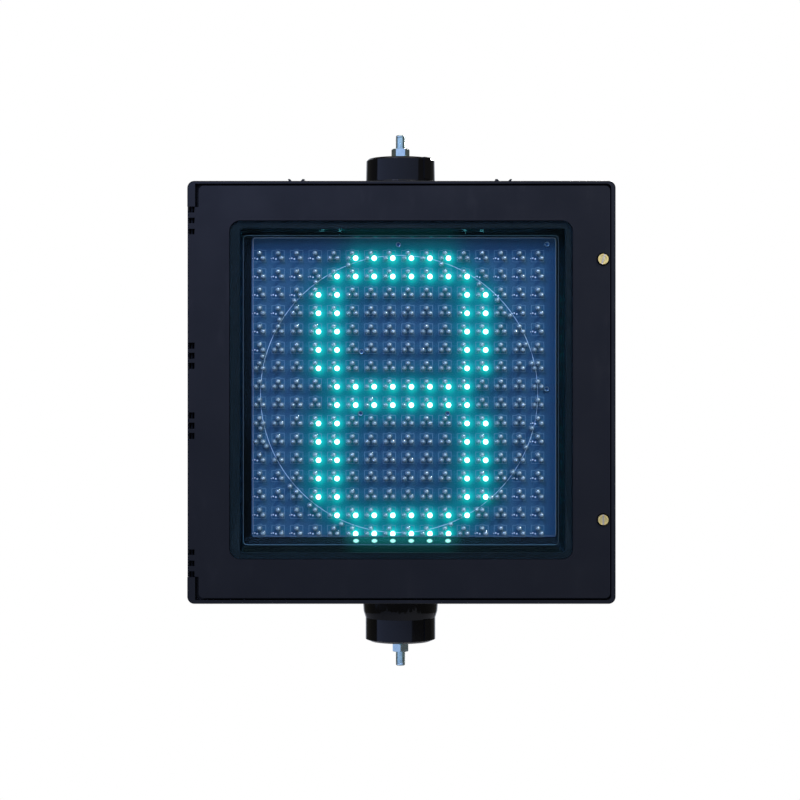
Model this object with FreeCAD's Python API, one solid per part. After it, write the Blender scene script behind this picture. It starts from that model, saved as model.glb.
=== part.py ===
import FreeCAD, Part
import math
import os

V = FreeCAD.Vector

# ---- driving dimensions, all in millimetres ----
# The case is laid out around its own middle; CASE_MID_Z lifts it above the bottom nut.
CASE_W = 425.0
CASE_H = 420.0
CASE_MID_Z = 265.6
WALL = 2.5
CORNER_R = 7.0
FACE_Y = -60.0       # front face of the door
RIM_Y = -59.5        # front edge of the case rim
RIM_R = 2.3          # rounding of the rim, as if it began at the door's face
BEAD = (-212.5, 214.4, -211.3, 210.3)  # stiffening bead round the rim, thicker at the right and bottom
BEAD_DEPTH = 7.0
TAPER_Y = 34.0       # the case tapers from here to its back
BACK_Y = 50.0
BACK_INSET = 15.0
SHELF_Y = -45.0      # front of the shelf that carries the sealing lip
SHELF_IN = 186.0     # half opening inside the shelf
LIP = (188.0, 190.0)
LIP_Y = -49.9
RIB_T = 2.0

# hinge
PIN_X = -208.2
PIN_Y = -53.5
PIN_R = 2.0
KNUCKLES = ((153.0, 184.0), (22.3, 52.0), (-50.0, -20.0), (-184.0, -153.0))
WINDOWS = ((181.3, 170.7, 159.6), (46.0, 35.9, 25.9), (-23.5, -33.7, -43.9), (-159.6, -170.7, -181.3))
WINDOW_X = (-211.0, -204.8)
WINDOW_H = 6.2
POST_Z = 184.6       # the corner posts start here
MID_KNUCKLE = (-19.6, 21.9)

# door
SKIN = 2.5
DOOR_X = (-201.0, 208.8)
DOOR_Z = 205.2
DOOR_R = 5.0
FLANGE_Y = -50.0
STRIP_X = -212.0
STRIP_Z = 184.0
RECESS = (-170.6, 171.8, -166.9, 170.8)
RECESS_R = 11.0
LEDGE_Y = -56.0
LEDGE_BACK_Y = -53.5
LEDGE = (-160.1, 164.1, -160.3, 163.1)
GASKET = (185.5, 193.0)

# captive screws
SCREW_X = 201.7
SCREW_Z = {"upper": 132.1, "lower": -127.3}
SLOT_TILT = {"upper": 18.0, "lower": 0.0}   # degrees from vertical, top towards the edge
SCREW_HEAD_R = 5.1
SCREW_PROUD = 3.0
SLOT_W = 1.8
SCREW_R = 3.0
SCREW_TIP_Y = -38.0
SCREW_SEAT_Y = -57.0  # floor of the deep seat round each head
SEAT_R = 6.6
SEAT_BOSS_R = 7.8
CLIP_Y = (-46.5, -45.5)

# clear cover
COVER_RIM = (-157.1, 157.8, -152.7, 156.2)
COVER_FLOOR = (-147.2, 155.9, -144.0, 153.9)
COVER_Y = (-59.3, -56.8)
COVER_RIM_Y = -53.3
COVER_FLOOR_Y = (-48.0, -46.0)
CLIPS_X = (-113.4, 118.5)
CLIPS_Z = (117.3, -112.6)

# light board
BOARD = (-150.0, 156.5, -146.1, 155.2)
BOARD_Y = (-34.0, -32.4)
LED_N = 16
LED_PITCH = (18.69, 18.48)
LED_FIRST = (-142.1, 137.1)
LED_R = 2.5
LED_H = 8.6
LED_SPOTS = {"leds_red": (0.0, 2.6), "leds_yellow": (-3.5, -2.5), "leds_green": (3.5, -2.5)}
# first and last column that carries the bottom-left lamp, row by row: they fill a disc
DISC = ((4, 11), (4, 11), (3, 12), (2, 13), (1, 14), (1, 15), (0, 15), (0, 15),
        (0, 15), (0, 14), (0, 14), (1, 14), (2, 13), (2, 13), (4, 13), (4, 11))
# extra lamps that round off the edge of the disc, by angle from the right, anticlockwise
EDGE_R = 140.3
EDGE_MIDDLE = (-4.4, -4.1)
EDGE_ANGLES = (13.5, 21.7, 35.2, 43.4, 53.4, 71.0, 110.0, 125.2, 136.9, 146.8, 163.6,
               193.5, 201.2, 220.4, 231.7, 246.9, 293.0, 305.3, 313.1, 326.8, 338.4, 346.6)
BOARD_SCREWS = ((-2.1, 148.5), (147.6, 148.9), (147.2, 2.9), (-40.4, -21.7), (47.4, -21.7), (-39.3, 40.6))

# black tray that holds the light board
TRAY = (-174.0, 175.5, -170.5, 174.5)
TRAY_Y = (-53.4, -16.0)
TRAY_EARS = ((-179.0, 120.0), (-179.0, -120.0), (180.0, 60.0), (180.0, -60.0),
             (-120.0, 179.0), (120.0, 179.0), (-120.0, -176.6), (120.0, -176.6))
EAR_Y = (-50.0, -47.5)

# mounting hardware, heights above the bottom nut's lower face
STUD_R = 5.0
THREAD_R = 4.5       # middle of the thread, where nut and stud meet
NUT_AF = 16.0
NUT_H = 8.4
WASHER_T = 2.5
WASHER_R = 10.0
TOP_COUPLING_Z = 503.8
TOP_STUD_Z = 528.6
BOTTOM_COUPLING_Z = 10.9
BOTTOM_STUD_Z = -14.5
GASKET_T = 2.0
COUPLING_R = 35.3
PIVOT_R = 12.0
PLATE_R = 25.0
PLATE_T = 3.0
HEAD_H = 6.4

# cable entry
ENTRY_Z = -150.0
ENTRY_R = 6.0


# ---- helpers ----
def box(x0, x1, y0, y1, z0, z1):
    return Part.makeBox(x1 - x0, y1 - y0, z1 - z0, V(x0, y0, z0))


def outline(frame, r, y):
    """Rounded rectangle standing at depth y."""
    x0, x1, z0, z1 = frame
    q = r * (1 - math.sqrt(0.5))
    points = [
        ((x0 + r, z1), (x1 - r, z1)),
        ((x1 - r, z1), (x1 - q, z1 - q), (x1, z1 - r)),
        ((x1, z1 - r), (x1, z0 + r)),
        ((x1, z0 + r), (x1 - q, z0 + q), (x1 - r, z0)),
        ((x1 - r, z0), (x0 + r, z0)),
        ((x0 + r, z0), (x0 + q, z0 + q), (x0, z0 + r)),
        ((x0, z0 + r), (x0, z1 - r)),
        ((x0, z1 - r), (x0 + q, z1 - q), (x0 + r, z1)),
    ]
    edges = []
    for run in points:
        at = [V(x, y, z) for x, z in run]
        edges.append(Part.makeLine(*at) if len(at) == 2 else Part.Arc(*at).toShape())
    return Part.Wire(edges)


def slab(frame, r, y0, y1):
    return Part.Face(outline(frame, r, y0)).extrude(V(0, y1 - y0, 0))


def taper(frame0, r0, y0, frame1, r1, y1):
    return Part.makeLoft([outline(frame0, r0, y0), outline(frame1, r1, y1)], True, True)


def grown(frame, d):
    x0, x1, z0, z1 = frame
    return (x0 - d, x1 + d, z0 - d, z1 + d)


def square(half_x, half_z):
    return (-half_x, half_x, -half_z, half_z)


def ring_slab(outer, r_out, inner, r_in, y0, y1):
    return slab(outer, r_out, y0, y1).cut(slab(inner, r_in, y0 - 1, y1 + 1))


def rod_y(x, z, r, y0, y1):
    return Part.makeCylinder(r, y1 - y0, V(x, y0, z), V(0, 1, 0))


def rod_z(x, y, r, z0, z1):
    return Part.makeCylinder(r, z1 - z0, V(x, y, z0), V(0, 0, 1))


def joined(shapes):
    first, rest = shapes[0], shapes[1:]
    return (first.fuse(rest) if rest else first).removeSplitter()


def cut_all(shape, tools):
    return shape.cut(tools)


def turned(profile):
    """Solid of revolution about Z from (radius, height) points."""
    points = [V(r, 0, z) for r, z in profile]
    wire = Part.makePolygon(points + [points[0]])
    return Part.Face(wire).revolve(V(0, 0, 0), V(0, 0, 1), 360)


def hex_prism(across_flats, z0, z1, flat_front=True):
    r = across_flats / math.sqrt(3)
    start = 0 if flat_front else 30
    corners = [V(r * math.cos(math.radians(start + 60 * i)), r * math.sin(math.radians(start + 60 * i)), z0)
               for i in range(7)]
    return Part.Face(Part.makePolygon(corners)).extrude(V(0, 0, z1 - z0))


def raised(shape):
    """Moves a shape laid out around the middle of the case to its height."""
    moved = shape.copy()
    moved.translate(V(0, 0, CASE_MID_Z))
    return moved


# ---- case ----
def case_shell():
    outer = square(CASE_W / 2, CASE_H / 2)
    back = grown(outer, -BACK_INSET)
    inner = grown(outer, -WALL)
    inner_back = grown(outer, -BACK_INSET - 1.2)
    shell = slab(outer, CORNER_R, RIM_Y, TAPER_Y)
    shell = shell.fuse(taper(outer, CORNER_R, TAPER_Y, back, CORNER_R, BACK_Y))
    hollow = slab(inner, CORNER_R - WALL, RIM_Y - 1, TAPER_Y)
    hollow = hollow.fuse(taper(inner, CORNER_R - WALL, TAPER_Y, inner_back, CORNER_R - WALL, BACK_Y - WALL))
    return shell.cut(hollow)


def case_shelf():
    """Shelf and lip that the door's seal presses on."""
    frame = square(CASE_W / 2 - WALL + 0.5, CASE_H / 2 - WALL + 0.5)
    opening = square(SHELF_IN, SHELF_IN)
    shelf = ring_slab(frame, 4.0, opening, 6.0, SHELF_Y, SHELF_Y + 2.5)
    lip = ring_slab(square(LIP[1], LIP[1]), 8.0, square(LIP[0], LIP[0]), 6.0, LIP_Y, SHELF_Y + 0.5)
    return [shelf, lip]


def rim_rounding():
    """What the rounded front edge of the rim takes off the case."""
    end = FACE_Y + RIM_R
    envelope = slab(BEAD, CORNER_R, FACE_Y, end + 5)
    front = [e for e in envelope.Edges if e.BoundBox.YMax < FACE_Y + 0.01]
    envelope = envelope.makeFillet(RIM_R, front)
    return slab(grown(BEAD, 3), CORNER_R + 3, FACE_Y - 1, end).cut(envelope)


def rim_bead():
    inner = square(CASE_W / 2 - 1, CASE_H / 2 - 1)
    return ring_slab(BEAD, CORNER_R, inner, CORNER_R - 1, RIM_Y, RIM_Y + BEAD_DEPTH)


def hinge_carriers():
    """Two corner posts and the middle knuckle that hold the hinge pins."""
    half_w, half_h = CASE_W / 2, CASE_H / 2
    block = slab(square(half_w, half_h), CORNER_R, RIM_Y, SHELF_Y + 1)
    parts = []
    for z0, z1 in ((POST_Z, half_h), (-half_h, -POST_Z)):
        parts.append(block.common(box(-half_w, PIN_X + 3.6, RIM_Y, SHELF_Y + 1, z0, z1)))
    z0, z1 = MID_KNUCKLE
    parts.append(rod_z(PIN_X, PIN_Y, 3.7, z0, z1))
    parts.append(box(PIN_X - 1.5, PIN_X + 3.7, PIN_Y, SHELF_Y + 1, z0, z1))
    parts.append(box(-half_w + 1, PIN_X + 3.7, SHELF_Y, SHELF_Y + 12, z0, z1))
    return parts


def case_bosses():
    parts = []
    for z in SCREW_Z.values():
        parts.append(box(193, CASE_W / 2 - 1, SHELF_Y, SHELF_Y + 22, z - 8, z + 8))
    for x in (-30.0, 30.0):
        parts.append(rod_y(x, -120, 4.0, 42.0, BACK_Y - 1))
    # stiffening ribs beside the two pivots and across the back
    inner_h = CASE_H / 2 - WALL
    for side in (-1, 1):
        for y in (-30.0, 30.0):
            z = sorted((side * (inner_h + 1), side * (inner_h - 11)))
            parts.append(box(-150, 150, y, y + RIB_T, z[0], z[1]))
    for x in (-120.0, 118.0):
        parts.append(box(x, x + RIB_T, 38, BACK_Y - 1, -180, 180))
    return parts


def hood_rails():
    """Two short dovetail rails on top of the case for a clip-on hood."""
    parts = []
    top = CASE_H / 2
    for middle in (-104.0, 103.0):
        for side in (-1, 1):
            profile = [(3.8, -0.5), (6.4, -0.5), (8.4, 2.2), (6.2, 2.2)]
            points = [V(middle + side * dx, RIM_Y + RIM_R, top + dz) for dx, dz in profile]
            face = Part.Face(Part.makePolygon(points + [points[0]]))
            parts.append(face.extrude(V(0, 30, 0)))
    return parts


def rear_housing():
    body = case_shell()
    body = body.cut(box(-CASE_W, PIN_X + 30, RIM_Y - 1, SHELF_Y, -POST_Z, POST_Z))
    bead = rim_bead().cut(box(-CASE_W, PIN_X + 30, RIM_Y - 1, SHELF_Y, -POST_Z, POST_Z))
    body = joined([body, bead] + case_shelf() + hinge_carriers() + case_bosses())
    body = joined([body.cut(rim_rounding())] + hood_rails())
    holes = [
        rod_z(PIN_X, PIN_Y, PIN_R, POST_Z - 1, 201),
        rod_z(PIN_X, PIN_Y, PIN_R, -201, -POST_Z + 1),
        rod_z(PIN_X, PIN_Y, PIN_R, MID_KNUCKLE[0] - 1, MID_KNUCKLE[1] + 1),
        rod_z(0, 0, PIVOT_R, CASE_H / 2 - 20, CASE_H / 2 + 1),
        rod_z(0, 0, PIVOT_R, -CASE_H / 2 - 1, -CASE_H / 2 + 20),
        rod_y(0, ENTRY_Z, ENTRY_R + 4, BACK_Y - 5, BACK_Y + 1),
    ]
    for z in SCREW_Z.values():
        holes.append(rod_y(SCREW_X, z, 4.25, SHELF_Y - 1, SHELF_Y + 14))
    for x in (-30.0, 30.0):
        holes.append(rod_y(x, -120, 1.4, 41, BACK_Y - 3))
    for x in (-150.0, 150.0):
        holes.append(rod_z(x, 20, 2.0, -CASE_H / 2 - 1, -CASE_H / 2 + 5))
    return raised(cut_all(body, holes))


def hinge_pins():
    pins = []
    for z0, z1 in ((152.0, 200.0), (-49.5, 51.5), (-200.0, -152.0)):
        pins.append(rod_z(PIN_X, PIN_Y, PIN_R, z0, z1))
    return raised(Part.makeCompound(pins))


def screw_inserts():
    inserts = []
    for z in SCREW_Z.values():
        body = rod_y(SCREW_X, z, 4.25, SHELF_Y, SHELF_Y + 12)
        inserts.append(body.cut(rod_y(SCREW_X, z, SCREW_R + 0.6, SHELF_Y - 1, SHELF_Y + 13)))
    return raised(Part.makeCompound(inserts))


def cable_grommet():
    r = ENTRY_R
    ring = rod_y(0, ENTRY_Z, r + 4, BACK_Y - WALL, BACK_Y)
    outside = rod_y(0, ENTRY_Z, r + 8, BACK_Y, BACK_Y + 2)
    inside = rod_y(0, ENTRY_Z, r + 7, BACK_Y - WALL - 2, BACK_Y - WALL)
    body = joined([ring, outside, inside])
    return raised(body.cut(rod_y(0, ENTRY_Z, r, BACK_Y - 10, BACK_Y + 5)))


def terminal_block():
    body = box(-38, 38, 28, 42, -131, -109)
    tools = []
    for i in range(6):
        x = -22.5 + 9 * i
        tools.append(rod_y(x, -120, 3.0, 27, 36))
        tools.append(box(x - 3, x + 3, 32, 39, -132, -124))
        tools.append(box(x - 3, x + 3, 32, 39, -116, -108))
    for x in (-30.0, 30.0):
        tools.append(rod_y(x, -120, 1.7, 27, 43))
        tools.append(rod_y(x, -120, 3.4, 27, 38))
    return raised(cut_all(body, tools))


def terminal_screws():
    screws = []
    for i in range(6):
        x = -22.5 + 9 * i
        head = rod_y(x, -120, 2.6, 31.5, 36)
        screws.append(head.cut(box(x - 2.6, x + 2.6, 31, 32.4, -120.4, -119.6)))
    return raised(Part.makeCompound(screws))


def block_screws():
    screws = []
    for x in (-30.0, 30.0):
        head = rod_y(x, -120, 2.8, 36, 38)
        shank = rod_y(x, -120, 1.4, 38, 45)
        screw = head.fuse(shank)
        screws.append(screw.cut(box(x - 2.8, x + 2.8, 35, 36.8, -120.4, -119.6)))
    return raised(Part.makeCompound(screws))


# ---- door ----
def door_shell():
    skin = slab((DOOR_X[0], DOOR_X[1], -DOOR_Z, DOOR_Z), DOOR_R, FACE_Y, FACE_Y + SKIN)
    strip = box(STRIP_X, DOOR_X[0] + 6, FACE_Y, FACE_Y + SKIN, -STRIP_Z, STRIP_Z)
    edge = slab((DOOR_X[0], DOOR_X[1], -DOOR_Z, DOOR_Z), DOOR_R, FACE_Y + SKIN, FLANGE_Y)
    inside = slab((-230, DOOR_X[1] - 2.5, -DOOR_Z + 2.5, DOOR_Z - 2.5), 3.0, FACE_Y, FLANGE_Y + 1)
    edge = edge.cut([inside, box(-230, PIN_X + 9.5, FACE_Y, FLANGE_Y + 1, -230, 230)])
    frame = slab(grown(RECESS, 2.5), RECESS_R + 2.5, FACE_Y + SKIN, LEDGE_BACK_Y)
    return [skin, strip, edge, frame]


def door_channel():
    """Two ribs that hold the seal."""
    y0, y1 = FACE_Y + SKIN, -51.0
    a, b = GASKET
    outer = ring_slab(square(b + 1.5, b + 1.5), 11, square(b, b), 9.5, y0 - 0.5, y1)
    inner = ring_slab(square(a, a), 6.5, square(a - 1.5, a - 1.5), 5, y0 - 0.5, y1)
    return [outer, inner]


def door_details():
    parts = []
    for z0, z1 in KNUCKLES:
        parts.append(box(STRIP_X, PIN_X + 4, FACE_Y, PIN_Y + 4.5, z0, z1))
    inside_edge = slab((DOOR_X[0], DOOR_X[1], -DOOR_Z, DOOR_Z), DOOR_R, FACE_Y, FLANGE_Y)
    for z in SCREW_Z.values():
        parts.append(rod_y(SCREW_X, z, SEAT_BOSS_R, FACE_Y + 1, -55).common(inside_edge))
    for x, z in TRAY_EARS:
        parts.append(rod_y(x, z, 4.2, FACE_Y + 1, EAR_Y[0]))
    return parts


def front_door():
    body = joined(door_shell() + door_channel() + door_details())
    tools = [
        slab(RECESS, RECESS_R, FACE_Y - 1, LEDGE_Y),
        slab(LEDGE, 3.0, FACE_Y - 1, LEDGE_BACK_Y + 1),
    ]
    for z in SCREW_Z.values():
        tools.append(rod_y(SCREW_X, z, SEAT_R, FACE_Y - 1, SCREW_SEAT_Y))
        tools.append(rod_y(SCREW_X, z, SCREW_R + 0.05, FACE_Y - 1, -50))
        tools.append(rod_y(SCREW_X, z, 5.0, -55, -45))
    for (z0, z1), windows in zip(KNUCKLES, WINDOWS):
        tools.append(rod_z(PIN_X, PIN_Y, PIN_R + 0.05, z0 - 1, z1 + 1))
        for z in windows:
            h = WINDOW_H / 2 - (0.35 if abs(z) > 100 else 0)
            tools.append(box(WINDOW_X[0], WINDOW_X[1], FACE_Y - 1, PIN_Y, z - h, z + h))
    for x, z in TRAY_EARS:
        tools.append(rod_y(x, z, 1.95, -56, EAR_Y[0] + 1))
    return raised(cut_all(body, tools))


def door_gasket():
    a, b = GASKET
    return raised(ring_slab(square(b, b), 9.5, square(a, a), 6.5, FACE_Y + SKIN, -50.0))


def cover_clip(x, z, dx, dz):
    """One snap leg of the clear cover; (dx, dz) points to the ledge it hooks."""
    y0, y1 = COVER_Y[1] - 0.5, LEDGE_BACK_Y + 1.6
    half, t, barb = 3.5, 1.6, 1.7
    if dx:
        leg = box(min(x, x - dx * t), max(x, x - dx * t), y0, y1, z - half, z + half)
        hook = box(min(x - dx, x + dx * barb), max(x - dx, x + dx * barb), y1 - 1.3, y1, z - half, z + half)
    else:
        leg = box(x - half, x + half, y0, y1, min(z, z - dz * t), max(z, z - dz * t))
        hook = box(x - half, x + half, y1 - 1.3, y1, min(z - dz, z + dz * barb), max(z - dz, z + dz * barb))
    return [leg, hook]


def clear_cover():
    """Flange on the ledge, a sloping border, then a shallow pan with a flat floor."""
    bend = grown(LEDGE, -0.4)
    outer = [
        slab(grown(RECESS, -0.5), RECESS_R - 0.5, *COVER_Y),
        taper(bend, 3.0, COVER_Y[1] - 0.5, grown(COVER_RIM, 1.2), 5.0, COVER_RIM_Y + 2.5),
        taper(grown(COVER_RIM, 1.2), 5.0, COVER_RIM_Y + 2.5, grown(COVER_FLOOR, 1.6), 4.5, COVER_FLOOR_Y[1]),
    ]
    hollow = [
        slab(bend, 3.0, COVER_Y[0] - 1, COVER_Y[0]),
        taper(bend, 3.0, COVER_Y[0], COVER_RIM, 4.5, COVER_RIM_Y),
        taper(COVER_RIM, 4.5, COVER_RIM_Y, COVER_FLOOR, 3.5, COVER_FLOOR_Y[0]),
    ]
    shell = joined(outer).cut(joined(hollow))
    pieces = [shell]
    for x in CLIPS_X:
        pieces += cover_clip(x, LEDGE[3] - 0.3, 0, 1)
        pieces += cover_clip(x, LEDGE[2] + 0.3, 0, -1)
    for z in CLIPS_Z:
        pieces += cover_clip(LEDGE[0] + 0.3, z, -1, 0)
        pieces += cover_clip(LEDGE[1] - 0.3, z, 1, 0)
    return raised(joined(pieces))


def cover_gasket():
    return raised(ring_slab(grown(RECESS, -0.6), RECESS_R - 0.6, grown(LEDGE, 0.5), 3.5, COVER_Y[1], LEDGE_Y))


# ---- light unit ----
def board_tray():
    y0, y1 = TRAY_Y
    body = slab(TRAY, 8.0, y0, y1).cut(slab(grown(TRAY, -2.5), 5.5, y0 - 1, y1 - 2.5))
    parts = [body]
    for x, z in BOARD_SCREWS:
        parts.append(rod_y(x, z, 3.5, BOARD_Y[1], y1 - 1))
    for x, z in TRAY_EARS:
        ear = rod_y(x, z, 4.2, EAR_Y[0], EAR_Y[1])
        reach = 7.0
        if abs(x) > 150:
            foot = box(min(x, x - math.copysign(reach, x)), max(x, x - math.copysign(reach, x)),
                       EAR_Y[0], EAR_Y[1], z - 4.2, z + 4.2)
        else:
            foot = box(x - 4.2, x + 4.2, EAR_Y[0], EAR_Y[1],
                       min(z, z - math.copysign(reach, z)), max(z, z - math.copysign(reach, z)))
        parts += [ear, foot]
    body = joined(parts)
    tools = [rod_y(x, z, 1.5, BOARD_Y[1] - 1, y1 - 4) for x, z in BOARD_SCREWS]
    tools += [rod_y(x, z, 2.2, EAR_Y[0] - 1, EAR_Y[1] + 1) for x, z in TRAY_EARS]
    tools.append(slab((-8, 8, -120, -104), 2.0, y1 - 5, y1 + 1))
    return raised(cut_all(body, tools))


def pan_head_screw(x, z, y, head_r, head_h, shank_r, length, way):
    """Screw with its head seated at depth y; way +1 puts the shank behind the seat."""
    if way > 0:
        head, shank = rod_y(x, z, head_r, y - head_h, y), rod_y(x, z, shank_r, y, y + length)
        cross_y = (y - head_h - 0.1, y - head_h + 1.0)
    else:
        head, shank = rod_y(x, z, head_r, y, y + head_h), rod_y(x, z, shank_r, y - length, y)
        cross_y = (y + head_h - 1.0, y + head_h + 0.1)
    a, b = head_r * 0.62, head_r * 0.14
    cross = box(x - a, x + a, cross_y[0], cross_y[1], z - b, z + b)
    cross = cross.fuse(box(x - b, x + b, cross_y[0], cross_y[1], z - a, z + a))
    return head.fuse(shank).removeSplitter().cut(cross)


def board_screws():
    return raised(Part.makeCompound([
        pan_head_screw(x, z, BOARD_Y[0], 2.8, 1.9, 1.5, 8, 1) for x, z in BOARD_SCREWS]))


def tray_screws():
    return raised(Part.makeCompound([
        pan_head_screw(x, z, EAR_Y[1], 3.6, 2.4, 1.9, 7.5, -1) for x, z in TRAY_EARS]))


def led_board():
    board = slab(BOARD, 2.0, *BOARD_Y)
    tools = [rod_y(x, z, 1.7, BOARD_Y[0] - 1, BOARD_Y[1] + 1) for x, z in BOARD_SCREWS]
    return raised(cut_all(board, tools))


def led(x, z):
    y = BOARD_Y[0]
    straight = LED_H - LED_R
    body = rod_y(x, z, LED_R, y - straight, y)
    dome = Part.makeSphere(LED_R, V(x, y - straight, z))
    return body.fuse(dome).removeSplitter()


def leds(name):
    dx, dz = LED_SPOTS[name]
    solids = []
    for row in range(LED_N):
        first, last = DISC[row] if name == "leds_yellow" else (0, LED_N - 1)
        for col in range(first, last + 1):
            solids.append(led(LED_FIRST[0] + col * LED_PITCH[0] + dx, LED_FIRST[1] - row * LED_PITCH[1] + dz))
    return raised(Part.makeCompound(solids))


def leds_edge():
    """Lamps between the clusters, on a circle."""
    solids = []
    for angle in EDGE_ANGLES:
        a = math.radians(angle)
        solids.append(led(EDGE_MIDDLE[0] + EDGE_R * math.cos(a), EDGE_MIDDLE[1] + EDGE_R * math.sin(a)))
    return raised(Part.makeCompound(solids))


# ---- electronics on the back of the tray ----
PSU = (-132.0, -22.0, -16.0, 14.0, -40.0, 58.0)
CONTROL = (22.0, 132.0, -48.0, 50.0)


def power_supply():
    x0, x1, y0, y1, z0, z1 = PSU
    body = box(x0, x1, y0, y1, z0, z1)
    tools = [box(x0 + 1.5, x1 + 1, y0 + 1.5, y1 - 1.5, z1 - 14, z1 + 1)]
    for i in range(8):
        x = x0 + 12 + i * 11.5
        tools.append(box(x, x + 4, y1 - 1.2, y1 + 1, z0 + 14, z1 - 30))
    body = body.cut(tools)
    feet = []
    for x, z in psu_feet():
        foot = box(min(x - 5, x + 5), max(x - 5, x + 5), y0, y0 + 2, z - 7, z + 7)
        feet.append(foot.cut(rod_y(x, z, 2.0, y0 - 1, y0 + 3)))
    return raised(joined([body] + feet))


def psu_feet():
    x0, x1, y0, y1, z0, z1 = PSU
    return ((x0 + 20, z0 - 6), (x1 - 20, z0 - 6), (x0 + 20, z1 + 6), (x1 - 20, z1 + 6))


def psu_screws():
    y = TRAY_Y[1] + 2
    return raised(Part.makeCompound([
        pan_head_screw(x, z, y, 3.4, 2.2, 1.5, 2.0, -1) for x, z in psu_feet()]))


def psu_terminals():
    x0, x1, y0, y1, z0, z1 = PSU
    body = box(x0 + 14, x1 - 14, y0 + 4, y1 - 5, z1 - 14, z1 - 2)
    tools = []
    for i in range(7):
        x = x0 + 19 + i * 11
        tools.append(box(x, x + 7, y1 - 12, y1 - 4, z1 - 11, z1 - 1))
    return raised(cut_all(body, tools))


def control_corners():
    x0, x1, z0, z1 = CONTROL
    return ((x0 + 5, z0 + 5), (x1 - 5, z0 + 5), (x0 + 5, z1 - 5), (x1 - 5, z1 - 5))


def control_board():
    y = TRAY_Y[1] + 8
    board = slab(CONTROL, 2.0, y, y + 1.6)
    return raised(cut_all(board, [rod_y(x, z, 1.7, y - 1, y + 3) for x, z in control_corners()]))


def control_standoffs():
    posts = []
    for x, z in control_corners():
        post = rod_y(x, z, 3.0, TRAY_Y[1], TRAY_Y[1] + 8)
        posts.append(post.cut(rod_y(x, z, 1.5, TRAY_Y[1] + 1, TRAY_Y[1] + 9)))
    return raised(Part.makeCompound(posts))


def control_screws():
    y = TRAY_Y[1] + 9.6
    return raised(Part.makeCompound([
        pan_head_screw(x, z, y, 2.8, 1.9, 1.5, 6.0, -1) for x, z in control_corners()]))


def control_parts():
    """Chips, capacitors, relay and plug sockets, each a separate solid."""
    x0, x1, z0, z1 = CONTROL
    y = TRAY_Y[1] + 9.6
    items = [
        box(x0 + 40, x0 + 54, y, y + 2, -8, 6),
        box(x0 + 62, x0 + 72, y, y + 1.8, -24, -4),
        box(x0 + 80, x0 + 99, y, y + 15, z0 + 14, z0 + 30),
        box(x0 + 14, x0 + 44, y, y + 9, z0 + 3, z0 + 11),
        box(x0 + 56, x0 + 86, y, y + 9, z0 + 3, z0 + 11),
        box(x0 + 30, x0 + 80, y, y + 9, z1 - 10, z1 - 2),
    ]
    for i in range(4):
        items.append(box(x0 + 16 + i * 20, x0 + 26 + i * 20, y, y + 2, 18, 30))
    for x, z, r, h in ((x0 + 14, -14, 5, 12), (x0 + 14, 0, 5, 12), (x0 + 28, -26, 4, 9), (x0 + 96, 8, 6, 14)):
        items.append(rod_y(x, z, r, y, y + h))
    return raised(Part.makeCompound(items))


# ---- captive screws ----
def captive_screw(which):
    x, z = SCREW_X, SCREW_Z[which]
    y0 = FACE_Y - SCREW_PROUD
    head = rod_y(x, z, SCREW_HEAD_R, y0, SCREW_SEAT_Y)
    head = head.fuse(rod_y(x, z, SCREW_R, SCREW_SEAT_Y, SCREW_TIP_Y)).removeSplitter()
    cup = rod_y(x, z, SCREW_HEAD_R - 1.4, y0 - 1, y0 + 0.4)
    slot = box(x - SLOT_W / 2, x + SLOT_W / 2, y0 - 1, y0 + 1.9, z - 7, z + 7)
    slot.rotate(V(x, 0, z), V(0, 1, 0), SLOT_TILT[which])
    neck = rod_y(x, z, 4.0, *CLIP_Y).cut(rod_y(x, z, 2.5, *CLIP_Y))
    return raised(head.cut([cup, slot, neck]))


def screw_clip(which):
    x, z = SCREW_X, SCREW_Z[which]
    ring = rod_y(x, z, 4.6, *CLIP_Y).cut(rod_y(x, z, 2.55, CLIP_Y[0] - 1, CLIP_Y[1] + 1))
    return raised(ring.cut(box(x - 1.6, x + 1.6, CLIP_Y[0] - 1, CLIP_Y[1] + 1, z - 6, z)))


# ---- mounting couplings and studs ----
def lug(r, z0, z1, proud=1.4):
    """Small upright key on the right of a coupling's front."""
    piece = box(-5, 5, -r - proud, -r + 3, z0, z1)
    piece.rotate(V(0, 0, 0), V(0, 0, 1), 50)
    return piece


def teeth(z, up):
    """Radial locking teeth on a coupling's outer face."""
    pieces = []
    for i in range(36):
        tooth = box(21, 29, -0.8, 0.8, min(z, z - up * 1.4), max(z, z - up * 1.4))
        tooth.rotate(V(0, 0, 0), V(0, 0, 1), i * 10)
        pieces.append(tooth)
    return pieces


def top_coupling():
    z0 = CASE_MID_Z + CASE_H / 2 + GASKET_T
    z1 = TOP_COUPLING_Z
    wall_z = z0 - GASKET_T - WALL
    r = COUPLING_R
    body = turned([(5.1, wall_z), (PIVOT_R - 0.05, wall_z), (PIVOT_R - 0.05, z0), (r + 0.6, z0),
                   (r + 0.6, z0 + 1.5), (r, z0 + 2.2), (r - 0.4, z1 - 2.0), (r - 2.4, z1), (5.1, z1)])
    body = body.fuse(lug(r - 0.6, z0 + 4, z1 - 0.1)).removeSplitter()
    pocket = turned([(14, z0 - 1), (30, z0 - 1), (30, z1 - 5), (14, z1 - 5)])
    return body.cut([pocket] + teeth(z1, 1))


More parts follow.
